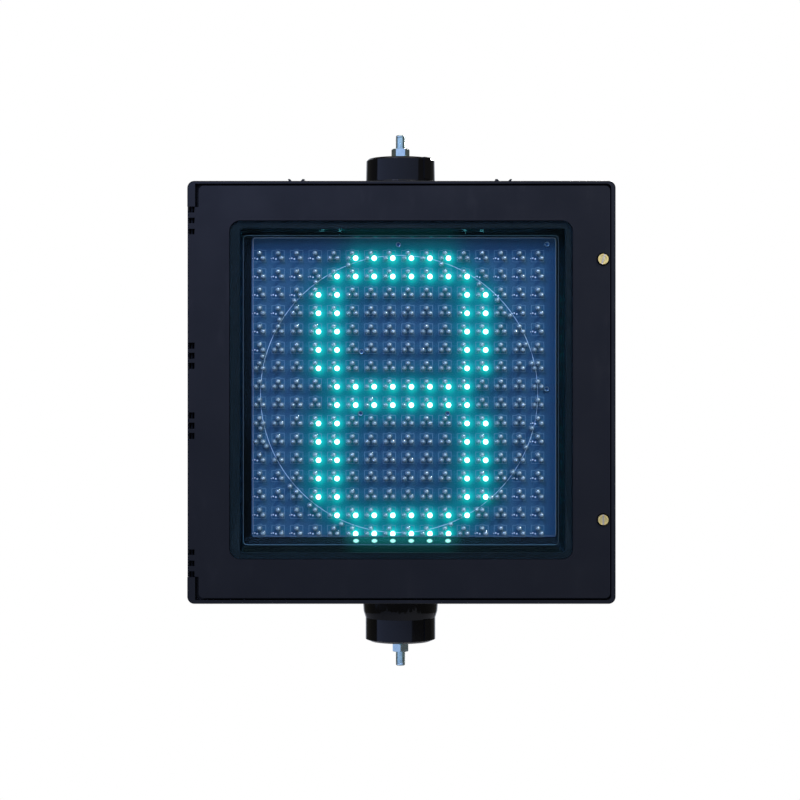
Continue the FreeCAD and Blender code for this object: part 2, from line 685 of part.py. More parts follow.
def bottom_coupling():
    z1 = CASE_MID_Z - CASE_H / 2 - GASKET_T
    z0 = BOTTOM_COUPLING_Z
    wall_z = z1 + GASKET_T + WALL
    r = COUPLING_R + 0.4
    body = turned([(5.1, z0), (r - 5.0, z0), (r, z0 + 2.2), (r, 35.1), (37.8, 41.9), (38.6, z1),
                   (PIVOT_R - 0.05, z1), (PIVOT_R - 0.05, wall_z), (5.1, wall_z)])
    body = body.fuse(lug(r - 0.7, z0 + 3, 35.0)).removeSplitter()
    pocket = turned([(14, z0 + 6), (30, z0 + 6), (30, z1 + 1), (14, z1 + 1)])
    return body.cut([pocket] + teeth(z0, -1))


def top_gasket():
    z = CASE_MID_Z + CASE_H / 2
    return turned([(PIVOT_R + 0.5, z + 0.1), (COUPLING_R + 0.9, z + 0.1), (COUPLING_R + 0.9, z + GASKET_T),
                   (PIVOT_R + 0.5, z + GASKET_T)])


def bottom_gasket():
    z = CASE_MID_Z - CASE_H / 2
    return turned([(PIVOT_R + 0.5, z - GASKET_T), (38.7, z - GASKET_T), (38.7, z - 0.1),
                   (PIVOT_R + 0.5, z - 0.1)])


def clamp_plates():
    top = CASE_MID_Z + CASE_H / 2 - WALL
    bottom = CASE_MID_Z - CASE_H / 2 + WALL
    upper = turned([(5.2, top - PLATE_T), (PLATE_R, top - PLATE_T), (PLATE_R, top - 0.1), (13, top - 0.1),
                    (13, top), (5.2, top)])
    lower = turned([(5.2, bottom), (13, bottom), (13, bottom + 0.1), (PLATE_R, bottom + 0.1),
                    (PLATE_R, bottom + PLATE_T), (5.2, bottom + PLATE_T)])
    return Part.makeCompound([upper, lower])


def stud(z_head, z_nut, z_end, up):
    """Stud with its hexagon head inside the case and a chamfered free end.

    Where the nut grips it the stud is drawn at the middle of its thread, elsewhere at the crest.
    """
    r = STUD_R
    nut_end = z_nut + up * NUT_H
    head = hex_prism(NUT_AF, *sorted((z_head, z_head - up * HEAD_H)))
    shank = turned([(0, z_head), (r, z_head), (r, z_nut), (THREAD_R, z_nut), (THREAD_R, nut_end),
                    (r, nut_end), (r, z_end - up * 1.0), (r - 1.0, z_end), (0, z_end)])
    return head.fuse(shank).removeSplitter()


def top_stud():
    return stud(CASE_MID_Z + CASE_H / 2 - WALL - PLATE_T, TOP_COUPLING_Z + WASHER_T, TOP_STUD_Z, 1)


def bottom_stud():
    return stud(CASE_MID_Z - CASE_H / 2 + WALL + PLATE_T, NUT_H, BOTTOM_STUD_Z, -1)


def nut(z0, flat_front):
    body = hex_prism(NUT_AF, z0, z0 + NUT_H, flat_front)
    r = NUT_AF / math.sqrt(3)
    cone = turned([(0, z0), (NUT_AF / 2 * 0.98, z0), (r + 0.1, z0 + 1.0), (r + 0.1, z0 + NUT_H - 1.0),
                   (NUT_AF / 2 * 0.98, z0 + NUT_H), (0, z0 + NUT_H)])
    return body.common(cone).cut(rod_z(0, 0, THREAD_R + 0.02, z0 - 1, z0 + NUT_H + 1))


def mount_nuts():
    return Part.makeCompound([nut(TOP_COUPLING_Z + WASHER_T, True), nut(0.0, False)])


def mount_washers():
    washers = []
    for z in (TOP_COUPLING_Z, NUT_H):
        washers.append(turned([(5.25, z), (WASHER_R, z), (WASHER_R, z + WASHER_T), (5.25, z + WASHER_T)]))
    return Part.makeCompound(washers)


# ---- write one file per piece ----
PIECES = {
    "rear_housing": rear_housing,
    "hinge_pins": hinge_pins,
    "screw_inserts": screw_inserts,
    "cable_grommet": cable_grommet,
    "terminal_block": terminal_block,
    "terminal_screws": terminal_screws,
    "block_screws": block_screws,
    "front_door": front_door,
    "door_gasket": door_gasket,
    "clear_cover": clear_cover,
    "cover_gasket": cover_gasket,
    "board_tray": board_tray,
    "tray_screws": tray_screws,
    "led_board": led_board,
    "board_screws": board_screws,
    "leds_edge": leds_edge,
    "power_supply": power_supply,
    "psu_screws": psu_screws,
    "psu_terminals": psu_terminals,
    "control_board": control_board,
    "control_standoffs": control_standoffs,
    "control_screws": control_screws,
    "control_parts": control_parts,
    "top_coupling": top_coupling,
    "bottom_coupling": bottom_coupling,
    "top_gasket": top_gasket,
    "bottom_gasket": bottom_gasket,
    "clamp_plates": clamp_plates,
    "top_stud": top_stud,
    "bottom_stud": bottom_stud,
    "mount_nuts": mount_nuts,
    "mount_washers": mount_washers,
}

os.makedirs("parts", exist_ok=True)
for name, make in PIECES.items():
    make().exportStep("parts/" + name + ".step")
for name in LED_SPOTS:
    leds(name).exportStep("parts/" + name + ".step")
for which in SCREW_Z:
    captive_screw(which).exportStep("parts/" + which + "_screw.step")
    screw_clip(which).exportStep("parts/" + which + "_screw_clip.step")
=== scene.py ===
import math
import bmesh
import bpy
import numpy as np
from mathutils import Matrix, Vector


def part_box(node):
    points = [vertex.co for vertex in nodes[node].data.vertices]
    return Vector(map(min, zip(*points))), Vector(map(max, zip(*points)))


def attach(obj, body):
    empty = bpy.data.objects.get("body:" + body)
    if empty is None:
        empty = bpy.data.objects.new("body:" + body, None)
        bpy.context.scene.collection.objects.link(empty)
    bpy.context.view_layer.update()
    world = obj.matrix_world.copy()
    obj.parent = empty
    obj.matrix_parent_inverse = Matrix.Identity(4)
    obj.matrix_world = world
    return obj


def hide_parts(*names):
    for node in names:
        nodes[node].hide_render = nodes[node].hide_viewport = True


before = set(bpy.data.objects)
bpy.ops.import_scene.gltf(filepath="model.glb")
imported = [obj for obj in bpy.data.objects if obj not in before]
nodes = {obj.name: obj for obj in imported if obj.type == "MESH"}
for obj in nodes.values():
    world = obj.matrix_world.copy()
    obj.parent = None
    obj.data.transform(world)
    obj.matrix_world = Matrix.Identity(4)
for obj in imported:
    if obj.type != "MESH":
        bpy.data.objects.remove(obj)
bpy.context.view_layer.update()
MM = 0.001
FRONT = (0, -1, 0)                               # the way the signal faces
BACK = (0, 1, 0)

# ---------------------------------------------------------------- places taken from the frame
board_low, board_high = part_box("led_board")
tray_low, tray_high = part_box("board_tray")
FACE = board_low.y                               # front of the lamp board
LAMP_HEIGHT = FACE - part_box("leds_green")[0].y   # from the board to the top of a dome
LAMP_RADIUS = 2.5 * MM
PAN_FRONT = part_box("clear_cover")[0].y + 6.0 * MM    # the cover's border is in front of this, its pan behind
COLUMNS = 16                                     # clusters of lamps in a row, and rows of clusters


# ---------------------------------------------------------------- shader trees
class Shading:
    """Short calls that add nodes to a shader tree; most return the new node's output."""

    def __init__(self, tree):
        self.tree = tree
        self.tree.nodes.clear()

    def node(self, kind, **settings):
        made = self.tree.nodes.new(kind)
        for key, value in settings.items():
            setattr(made, key, value)
        return made

    def link(self, source, target):
        self.tree.links.new(source, target)

    def feed(self, socket, value):
        """Links a socket or sets its value; a colour gets its alpha."""
        if hasattr(value, "links"):
            self.link(value, socket)
        elif socket.type == "RGBA":
            socket.default_value = (*value, 1.0)
        else:
            socket.default_value = value

    def fill(self, node, *values):
        """Feeds a node's first inputs in order."""
        for socket, value in zip(node.inputs, values):
            self.feed(socket, value)
        return node.outputs[0]

    def calc(self, operation, *values):
        return self.fill(self.node("ShaderNodeMath", operation=operation), *values)

    def product(self, first, *others):
        """All the values multiplied together."""
        for other in others:
            first = self.calc("MULTIPLY", first, other)
        return first

    def inverse(self, share):
        """What is left of 1."""
        return self.calc("SUBTRACT", 1.0, share)

    def distance(self, across, up):
        """Length of the diagonal of two offsets."""
        squares = self.calc("ADD", self.product(across, across), self.product(up, up))
        return self.calc("SQRT", squares)

    def fade(self, value, low, high, at_low=0.0, at_high=1.0):
        """Straight change from at_low to at_high while value runs from low to high."""
        return self.fill(self.node("ShaderNodeMapRange", clamp=True), value, low, high, at_low, at_high)

    def step(self, value, low, high):
        """Soft change from 0 to 1 while value runs from low to high."""
        node = self.node("ShaderNodeMapRange", interpolation_type="SMOOTHSTEP")
        return self.fill(node, value, low, high, 0.0, 1.0)

    def window(self, value, start, end, soft):
        """1 between start and end, with soft ends."""
        rise = self.step(value, start - soft, start + soft)
        fall = self.step(value, end - soft, end + soft)
        return self.product(rise, self.inverse(fall))

    def add(self, first, second):
        """Sum of two colours."""
        return self.fill(self.node("ShaderNodeVectorMath", operation="ADD"), first, second)

    def axes(self, place):
        """X, Y and Z of a place."""
        node = self.node("ShaderNodeSeparateXYZ")
        self.link(place, node.inputs[0])
        return node.outputs


class Look(Shading):
    """A material round one Principled shader, whose sockets are given by name."""

    def __init__(self, name, **values):
        self.material = bpy.data.materials.new(name)
        self.material.use_nodes = True
        super().__init__(self.material.node_tree)
        self.output = self.node("ShaderNodeOutputMaterial")
        self.shader = self.node("ShaderNodeBsdfPrincipled")
        self.link(self.shader.outputs[0], self.output.inputs[0])
        for key, value in values.items():
            self.shader.inputs[key.replace("_", " ")].default_value = value
        self.place = self.node("ShaderNodeTexCoord").outputs["Object"]

    def noise(self, scale, detail=3.0, rough=0.5, place=None):
        node = self.node("ShaderNodeTexNoise")
        self.link(place or self.place, node.inputs["Vector"])
        for key, value in (("Scale", scale), ("Detail", detail), ("Roughness", rough)):
            node.inputs[key].default_value = value
        return node.outputs["Fac"]

    def cells(self, scale, feature="F1", output="Distance"):
        node = self.node("ShaderNodeTexVoronoi", feature=feature)
        self.link(self.place, node.inputs["Vector"])
        node.inputs["Scale"].default_value = scale
        return node.outputs[output]

    def stretched(self, scale):
        """The object's place with each axis scaled."""
        node = self.node("ShaderNodeMapping")
        self.link(self.place, node.inputs["Vector"])
        node.inputs["Scale"].default_value = scale
        return node.outputs[0]

    def stripes(self, along, pitch, width, shift=0.0):
        """1 on stripes across an axis; width and shift are shares of the pitch."""
        turn = self.calc("FRACT", self.calc("ADD", self.calc("DIVIDE", along, pitch), shift))
        off = self.calc("ABSOLUTE", self.calc("SUBTRACT", turn, 0.5))
        return self.calc("LESS_THAN", off, width / 2)

    def ramp(self, value, stops):
        """Colour that runs through (position, colour) stops."""
        node = self.node("ShaderNodeValToRGB")
        elements = node.color_ramp.elements
        while len(elements) < len(stops):
            elements.new(0.5)
        for element, (position, colour) in zip(elements, stops):
            element.position = position
            element.color = (*colour, 1.0)
        self.link(value, node.inputs[0])
        return node.outputs[0]

    def mix(self, share, first, second):
        """Blend of two colours, the second by its share."""
        node = self.node("ShaderNodeMix", data_type="RGBA")
        colour_a, colour_b = node.inputs[6], node.inputs[7]
        for socket, value in ((node.inputs[0], share), (colour_a, first), (colour_b, second)):
            self.feed(socket, value)
        return node.outputs[2]

    def cloudy(self, noise, first, second, low=0.35, high=0.7):
        """Two shades that change slowly over a surface."""
        return self.mix(self.fade(noise, low, high), first, second)

    def attribute(self, name):
        return self.node("ShaderNodeAttribute", attribute_name=name).outputs["Fac"]

    def colour(self, socket):
        self.link(socket, self.shader.inputs["Base Color"])

    def rough(self, socket):
        self.link(socket, self.shader.inputs["Roughness"])

    def glow(self, socket):
        self.link(socket, self.shader.inputs["Emission Color"])

    def relief(self, height, distance, strength, under=None):
        """Normal of a bumped surface, on top of an earlier normal where there is one."""
        node = self.node("ShaderNodeBump")
        node.inputs["Distance"].default_value = distance
        node.inputs["Strength"].default_value = strength
        self.link(height, node.inputs["Height"])
        if under:
            self.link(under, node.inputs["Normal"])
        return node.outputs[0]

    def bump(self, height, distance, strength=1.0):
        normal = self.shader.inputs["Normal"]
        under = normal.links[0].from_socket if normal.links else None
        self.link(self.relief(height, distance, strength, under), normal)


# ---------------------------------------------------------------- plastics and metals
def moulded(name, base, light, rough, grain=900.0, depth=0.03 * MM, ior=1.46):
    """Moulded plastic: fine pebbled grain, slow changes of shade, faint scuffs."""
    look = Look(name, IOR=ior)
    look.colour(look.cloudy(look.noise(9, 4, 0.6), base, light))
    scuffs = look.fade(look.noise(60, 6, 0.7, look.stretched((1, 1, 0.25))), 0.56, 0.75, 0.0, 0.12)
    cloud = look.fade(look.noise(25, 3), 0.3, 0.7, rough - 0.03, rough + 0.04)
    look.rough(look.calc("ADD", cloud, scuffs))
    look.bump(look.cells(grain, "SMOOTH_F1"), depth, 0.35)
    look.bump(look.noise(22, 2), 0.6 * MM, 0.10)
    return look.material


def metal(name, base, dark, rough, stretch=(1, 1, 1), scale=400):
    """Plated or drawn metal: fine lay, cloudy shade and roughness."""
    look = Look(name, Metallic=1.0)
    look.colour(look.cloudy(look.noise(160, 5, 0.65), base, dark, high=0.68))
    lay = look.noise(scale, 6, 0.7, look.stretched(stretch))
    look.rough(look.fade(lay, 0.3, 0.75, rough * 0.75, rough * 1.3))
    look.bump(lay, 0.02 * MM, 0.5)
    return look.material


def turned_brass(name, node):
    """Brass head: lathe rings round its own axis, a bright outer ring and a pale slot."""
    low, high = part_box(node)
    middle = (low + high) / 2
    ring_pitch = 0.22 * MM
    look = Look(name, Metallic=1.0)
    x, y, z = look.axes(look.place)
    radius = look.distance(look.calc("SUBTRACT", x, middle.x), look.calc("SUBTRACT", z, middle.z))
    brass = look.cloudy(look.noise(500, 4, 0.6), (1.0, 0.79, 0.27), (0.93, 0.66, 0.20))
    inner = look.mix(0.5, brass, (0.62, 0.52, 0.20))
    brass = look.mix(look.fade(radius, 3.5 * MM, 4.1 * MM), inner, brass)
    in_slot = look.fade(y, low.y + 0.5 * MM, low.y + 1.4 * MM)
    look.colour(look.mix(in_slot, brass, (0.72, 0.64, 0.48)))
    look.rough(look.fade(look.noise(900, 3), 0.3, 0.7, 0.34, 0.50))
    look.bump(look.calc("SINE", look.product(radius, 2 * math.pi / ring_pitch)), 0.012 * MM, 0.6)
    return look.material


def circuit_look():
    """Green circuit board: mask over copper tracks that run in both directions, with pale pads."""
    look = Look("green_mask", IOR=1.5)
    track_pitch = 1.27 * MM
    x, _, z = look.axes(look.place)
    region = look.node("ShaderNodeSeparateColor")
    look.link(look.cells(60, output="Color"), region.inputs[0])
    crossways, crowded, soldered = region.outputs
    along_z = look.calc("GREATER_THAN", crossways, 0.5)
    tracks = look.calc("ADD", look.product(look.stripes(x, track_pitch, 0.44), along_z),
                       look.product(look.stripes(z, track_pitch, 0.44), look.inverse(along_z)))
    tracks = look.product(tracks, look.calc("GREATER_THAN", crowded, 0.35))
    pads = look.calc("LESS_THAN", look.cells(260), 0.16)
    pads = look.product(pads, look.calc("GREATER_THAN", soldered, 0.45))
    mask = look.mix(tracks, (0.010, 0.075, 0.028), (0.022, 0.135, 0.050))
    look.colour(look.mix(pads, mask, (0.62, 0.60, 0.50)))
    look.rough(look.fade(look.noise(300, 3), 0.3, 0.7, 0.26, 0.38))
    look.bump(tracks, 0.04 * MM, 0.6)
    return look.material


def clear_look():
    """Clear cover: lets light through, with a thin smooth reflection; its border is tinted green."""
    look = Look("clear_polycarbonate")
    look.tree.nodes.remove(look.shader)
    _, y, z = look.axes(look.place)
    border = look.fade(y, PAN_FRONT - 0.6 * MM, PAN_FRONT, 1.0, 0.0)
    through = look.node("ShaderNodeBsdfTransparent")
    look.link(look.mix(border, (0.94, 0.98, 0.99), (0.74, 0.86, 0.88)), through.inputs[0])
    shine = look.node("ShaderNodeBsdfGlossy")
    shine.inputs["Color"].default_value = (0.46, 0.86, 1.0, 1)
    shine.inputs["Roughness"].default_value = 0.04
    look.link(look.relief(look.noise(30, 2), 0.15 * MM, 0.02), shine.inputs["Normal"])
    fresnel = look.node("ShaderNodeFresnel")
    fresnel.inputs["IOR"].default_value = 1.2
    share = look.calc("MINIMUM", fresnel.outputs[0], 0.038)
    above_board = look.calc("GREATER_THAN", z, board_high.z + 0.5 * MM)
    top_wall = look.product(above_board, look.calc("GREATER_THAN", y, PAN_FRONT))
    share = look.product(share, look.inverse(look.product(top_wall, 0.98)))
    mixed = look.node("ShaderNodeMixShader")
    look.fill(mixed, share, through.outputs[0], shine.outputs[0])
    look.link(mixed.outputs[0], look.output.inputs[0])
    return look.material


case_plastic = moulded("case_plastic", (0.0022, 0.0024, 0.0030), (0.0036, 0.0038, 0.0046), 0.36, ior=1.36)
door_plastic = moulded("door_plastic", (0.0022, 0.0024, 0.0030), (0.0034, 0.0036, 0.0044), 0.34, ior=1.36)
coupling_plastic = moulded("coupling_plastic", (0.0016, 0.0016, 0.0016), (0.0026, 0.0026, 0.0028), 0.09,
                           grain=1400.0, depth=0.003 * MM, ior=1.40)
tray_plastic = moulded("tray_plastic", (0.0012, 0.0034, 0.0036), (0.0020, 0.0052, 0.0054), 0.42, ior=1.26)
rubber = moulded("seal_rubber", (0.0040, 0.0040, 0.0042), (0.0070, 0.0070, 0.0072), 0.62,
                 grain=700.0, depth=0.05 * MM, ior=1.4)
block_plastic = moulded("block_plastic", (0.20, 0.21, 0.21), (0.27, 0.28, 0.28), 0.40,
                        grain=1300.0, depth=0.02 * MM)
laminate = moulded("board_laminate", (0.030, 0.115, 0.30), (0.040, 0.14, 0.34), 0.45,
                   grain=1500.0, depth=0.01 * MM)
ink = moulded("silkscreen_ink", (0.120, 0.235, 0.32), (0.15, 0.27, 0.37), 0.5,
              grain=1500.0, depth=0.01 * MM, ior=1.3)
bright_ink = moulded("silkscreen_ink_bright", (0.55, 0.72, 0.90), (0.62, 0.78, 0.95), 0.5,
                     grain=1500.0, depth=0.01 * MM)
# Pale tin colour, partly the solder's own and partly a painted highlight for its glint.
solder = moulded("solder", (0.86, 0.93, 0.97), (0.97, 1.0, 1.0), 0.3,
                 grain=1500.0, depth=0.01 * MM, ior=1.4)
zinc = metal("zinc_plate", (0.78, 0.98, 0.92), (0.60, 0.78, 0.80), 0.20)
stainless = metal("stainless", (0.62, 0.63, 0.64), (0.50, 0.51, 0.52), 0.30)
black_steel = metal("blackened_steel", (0.016, 0.017, 0.019), (0.010, 0.010, 0.011), 0.45)
plain_brass = metal("brass", (0.86, 0.62, 0.24), (0.70, 0.46, 0.15), 0.28)
aluminium = metal("brushed_aluminium", (0.70, 0.71, 0.72), (0.60, 0.61, 0.62), 0.34, (0.04, 1, 1), 900)
lead_frame = metal("lead_frame", (1.0, 1.0, 0.94), (0.88, 0.90, 0.88), 0.36)
blued = metal("blued_screw", (0.26, 0.40, 0.46), (0.20, 0.31, 0.37), 0.30)
# Painted shadow: dark colour for the floor of the board screws' sockets.
socket_shadow = metal("screw_socket_painted_shadow", (0.05, 0.12, 0.22), (0.03, 0.08, 0.16), 0.45)


# ---------------------------------------------------------------- mesh helpers
def piece(name, body, shape, *materials, slot, smooth=None):
    """Object from a bmesh or a mesh, riding on a body, with sharp edges above the angle smooth."""
    if isinstance(shape, bmesh.types.BMesh):
        mesh = bpy.data.meshes.new(name)
        shape.to_mesh(mesh)
        shape.free()
    else:
        mesh = shape
    for material in materials:
        mesh.materials.append(material)
    made = bpy.data.objects.new(name, mesh)
    bpy.context.scene.collection.objects.link(made)
    if smooth is not None:
        shade(mesh, smooth)
    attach(made, body)
    return made


def shade(mesh, degrees):
    """Smooth shading with sharp edges above an angle."""
    bm = bmesh.new()
    bm.from_mesh(mesh)
    limit = math.radians(degrees)
    for face in bm.faces:
        face.smooth = True
    for edge in bm.edges:
        edge.smooth = len(edge.link_faces) == 2 and edge.calc_face_angle(math.pi) < limit
    bm.to_mesh(mesh)
    bm.free()


def lathe(bm, profile, at, axis=FRONT, segments=16, material=0):
    """Turns (radius, height) points round an axis through at; height runs along the axis."""
    turn = Vector((0, 0, 1)).rotation_difference(Vector(axis)).to_matrix()
    rings = []
    for radius, height in profile:
        count = segments if radius else 1
        angles = [2 * math.pi * i / segments for i in range(count)]
        points = [Vector((radius * math.cos(a), radius * math.sin(a), height)) for a in angles]
        rings.append([bm.verts.new(Vector(at) + turn @ point) for point in points])
    for near, far in zip(rings, rings[1:]):
        for i in range(segments):
            j = (i + 1) % segments
            if len(near) == 1:
                corners = (near[0], far[j], far[i])
            elif len(far) == 1:
                corners = (near[i], near[j], far[0])
            else:
                corners = (near[i], near[j], far[j], far[i])
            bm.faces.new(corners).material_index = material


def block(bm, low, high, material=0):
    """Box between two corners, closed."""
    spans = list(zip(low, high))
    v = [bm.verts.new((x, y, z)) for x in spans[0] for y in spans[1] for z in spans[2]]
    for corners in ((0, 1, 3, 2), (4, 6, 7, 5), (0, 4, 5, 1), (2, 3, 7, 6), (0, 2, 6, 4), (1, 5, 7, 3)):
        bm.faces.new([v[i] for i in corners]).material_index = material


def ribbon(bm, points, width, y, thick, material=0):
    """Flat printed line round closed (x, z) points, standing proud of the board at depth y."""
    rows = []
    for i, point in enumerate(points):
        here = Vector(point)
        arriving = (here - Vector(points[i - 1])).normalized()
        leaving = (Vector(points[(i + 1) % len(points)]) - here).normalized()
        both = arriving + leaving
        side = Vector((-both.y, both.x)).normalized()
        reach = width / 2 / max(0.5, side.dot(Vector((-arriving.y, arriving.x))))
        edges = (here + side * reach, here - side * reach)
        rows.append([bm.verts.new((edge.x, depth, edge.y)) for depth in (y, y - thick) for edge in edges])
    for row, after in zip(rows, rows[1:] + rows[:1]):
        for i, j in ((2, 3), (0, 2), (3, 1)):
            bm.faces.new((row[i], row[j], after[j], after[i])).material_index = material


def bead(bm, points, y, radius, material=0, sides=8):
    """Thin round bead along closed (x, z) points at depth y."""
    rows = []
    for i, point in enumerate(points):
        ahead = Vector(points[(i + 1) % len(points)]) - Vector(points[i - 1])
        side = Vector((-ahead.y, ahead.x)).normalized()
        row = []
        for j in range(sides):
            a = 2 * math.pi * j / sides
            place = Vector(point) + side * radius * math.cos(a)
            row.append(bm.verts.new((place.x, y + radius * math.sin(a), place.y)))
        rows.append(row)
    for row, after in zip(rows, rows[1:] + rows[:1]):
        for j in range(sides):
            k = (j + 1) % sides
            bm.faces.new((row[j], after[j], after[k], row[k])).material_index = material


def rounded(x0, x1, z0, z1, radius, steps=6):
    """Points of a rounded rectangle, going round once."""
    corners = ((x1 - radius, z1 - radius, 0), (x0 + radius, z1 - radius, 90),
               (x0 + radius, z0 + radius, 180), (x1 - radius, z0 + radius, 270))
    points = []
    for x, z, start in corners:
        for i in range(steps + 1):
            a = math.radians(start + 90 * i / steps)
            points.append((x + radius * math.cos(a), z + radius * math.sin(a)))
    return points


def parts_of(node):
    """Middle of every separate solid of a CAD node."""
    bm = bmesh.new()
    bm.from_mesh(nodes[node].data)
    bmesh.ops.remove_doubles(bm, verts=bm.verts, dist=1e-6)
    seen, middles = set(), []
    for start in bm.verts:
        if start.index in seen:
            continue
        solid, waiting = [], [start]
        seen.add(start.index)
        while waiting:
            vert = waiting.pop()
            solid.append(vert.co.copy())
            for edge in vert.link_edges:
                other = edge.other_vert(vert)
                if other.index not in seen:
                    seen.add(other.index)
                    waiting.append(other)
        low = Vector([min(co[i] for co in solid) for i in range(3)])
        high = Vector([max(co[i] for co in solid) for i in range(3)])
        middles.append((low + high) / 2)
    bm.free()
    return middles


def paint(node, material):
    """Gives a CAD node its material."""
    thing = nodes[node]
    thing.data.materials.clear()
    thing.data.materials.append(material)
    return thing


def soften(node, width, material, angle=32):
    """Rounds a CAD node's edges with modifiers; below 20 degrees its facets stay flat too."""
    thing = paint(node, material)
    weld = thing.modifiers.new("weld", "WELD")
    weld.merge_threshold = 0.004 * MM
    flat = thing.modifiers.new("flat", "DECIMATE")
    flat.decimate_type = "DISSOLVE"
    flat.angle_limit = math.radians(0.6)
    bevel = thing.modifiers.new("bevel", "BEVEL")
    bevel.width = width
    bevel.segments = 2
    bevel.limit_method = "ANGLE"
    bevel.angle_limit = math.radians(angle)
    bevel.use_clamp_overlap = True
    if angle < 20:
        edges = thing.modifiers.new("edges", "EDGE_SPLIT")
        edges.split_angle = math.radians(angle)
    normals = thing.modifiers.new("normals", "WEIGHTED_NORMAL")
    normals.weight = 50
    normals.keep_sharp = True


# ---------------------------------------------------------------- case, door, couplings and what they hold
FACETED = 14                                     # degrees, so that the couplings' flats keep their edges
soften("rear_housing", 0.5 * MM, case_plastic)
soften("front_door", 0.4 * MM, door_plastic)
for node in ("top_coupling", "bottom_coupling"):
    soften(node, 0.35 * MM, coupling_plastic, FACETED)
PAINTED = (
    (rubber, ("top_gasket", "bottom_gasket", "door_gasket", "cover_gasket", "cable_grommet")),
    (zinc, ("mount_nuts", "mount_washers", "clamp_plates", "terminal_screws", "block_screws", "psu_screws",
            "control_screws")),
    (stainless, ("upper_screw_clip", "lower_screw_clip")),
    (black_steel, ("hinge_pins", "tray_screws")),
    (plain_brass, ("screw_inserts", "control_standoffs")),
    (block_plastic, ("terminal_block", "psu_terminals")),
    (aluminium, ("power_supply",)),
    (tray_plastic, ("control_parts",)),
    (circuit_look(), ("control_board",)),
    (clear_look(), ("clear_cover",)),
    (laminate, ("led_board",)),
    (turned_brass("turned_brass_upper", "upper_screw"), ("upper_screw",)),
    (turned_brass("turned_brass_lower", "lower_screw"), ("lower_screw",)),
)
for material, names in PAINTED:
    for node in names:
        paint(node, material)


def screw_seats():
    """Cone of each brass screw's seat, from the door's face down to the floor of the seat."""
    bm = bmesh.new()
    head = 3.0 * MM                              # how far the head stands in front of the door
    depth = 2.9 * MM
    mouth, floor = 6.5 * MM, 5.3 * MM
    profile = ((mouth, 0.1 * MM), (floor + 0.2 * MM, depth - 0.5 * MM), (floor, depth))
    for node in ("upper_screw", "lower_screw"):
        low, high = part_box(node)
        lathe(bm, profile, ((low.x + high.x) / 2, low.y + head, (low.z + high.z) / 2), BACK, 40)
    return bm


piece("screw_seats", "door", screw_seats(), case_plastic, smooth=60, slot="case_plastic")

# ---------------------------------------------------------------- studs with real threads
CREST, ROOT, PITCH = 4.95 * MM, 4.55 * MM, 1.5 * MM
STUD_SEGMENTS = 32


def thread(bm, z_start, up, length):
    """M10 x 1.5 thread: its section swept along a helix, lower than the root over the last millimetre."""
    section = ((0.0, ROOT), (0.19, ROOT), (0.44, CREST), (0.56, CREST), (0.81, ROOT))
    relief = 0.4 * MM
    run_out = 1.0 * MM
    rows = []
    for i in range(int(length / PITCH * STUD_SEGMENTS) + 1):
        a = 2 * math.pi * i / STUD_SEGMENTS
        start = PITCH * i / STUD_SEGMENTS - PITCH
        row = []
        for share, radius in section:
            height = min(max(start + share * PITCH, 0.0), length)
            left = min(1.0, max(0.0, (length - height) / run_out))
            radius = min(radius, ROOT - relief + (CREST - ROOT + relief) * left)
            row.append(bm.verts.new((radius * math.cos(a), radius * math.sin(a), z_start + up * height)))
        rows.append(row)
    quads = [(row[j], after[j], after[j + 1], row[j + 1])
             for row, after in zip(rows, rows[1:]) for j in range(len(section) - 1)]
    quads += [(row[-1], after[-1], after_over[0], over[0]) for row, after, over, after_over
              in zip(rows, rows[1:], rows[STUD_SEGMENTS:], rows[STUD_SEGMENTS + 1:])]
    for quad in quads:
        bm.faces.new(quad if up > 0 else tuple(reversed(quad)))


def threaded_stud(name, node, up, nut_face):
    """Hexagon head, plain shank, thread from inside the nut outwards, and a plain chamfered end."""
    low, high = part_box(node)
    z_head, z_end = (low.z, high.z) if up > 0 else (high.z, low.z)
    axis = (0, 0, up)
    head = 6.4 * MM
    corner = 8.0 * MM / math.cos(math.pi / 6)
    z_shank = z_head + up * head
    z_thread = nut_face - up * 6 * MM
    shank = abs(z_thread - z_shank)
    plain_end = 1.4 * MM
    bm = bmesh.new()
    lathe(bm, ((0, 0), (corner - 0.9 * MM, 0), (corner, 0.7 * MM), (corner, head), (0, head)),
          (0, 0, z_head), axis, 6)
    lathe(bm, ((0, 0), (CREST, 0), (CREST, shank), (ROOT, shank + 0.4 * MM), (0, shank + 0.4 * MM)),
          (0, 0, z_shank), axis, STUD_SEGMENTS)
    thread(bm, z_thread, up, abs(z_end - z_thread) - plain_end)
    lathe(bm, ((ROOT - 0.3 * MM, -3.2 * MM), (ROOT + 0.1 * MM, -2.2 * MM), (ROOT + 0.1 * MM, -0.8 * MM),
               (ROOT - 0.6 * MM, 0), (0, 0)), (0, 0, z_end), axis, STUD_SEGMENTS)
    bmesh.ops.remove_doubles(bm, verts=bm.verts, dist=1e-7)
    made = piece(name, "mounting", bm, zinc, smooth=35, slot="zinc")
    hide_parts(node)


nuts_low, nuts_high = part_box("mount_nuts")
threaded_stud("threaded_stud_top", "top_stud", 1, nuts_high.z)
threaded_stud("threaded_stud_bottom", "bottom_stud", -1, nuts_low.z)

# ---------------------------------------------------------------- where the lamps are, and which are lit
reds, yellows, greens, edge_lamps = (
    parts_of(node) for node in ("leds_red", "leds_yellow", "leds_green", "leds_edge"))
FIRST_X, LAST_X = min(p.x for p in greens), max(p.x for p in greens)
LOWEST_Z, TOP_Z = min(p.z for p in greens), max(p.z for p in greens)
PITCH_X, PITCH_Z = (LAST_X - FIRST_X) / (COLUMNS - 1), (TOP_Z - LOWEST_Z) / (COLUMNS - 1)


def cell(p):
    """Row, from the top, and column of a green lamp's cluster."""
    return round((TOP_Z - p.z) / PITCH_Z), round((p.x - FIRST_X) / PITCH_X)


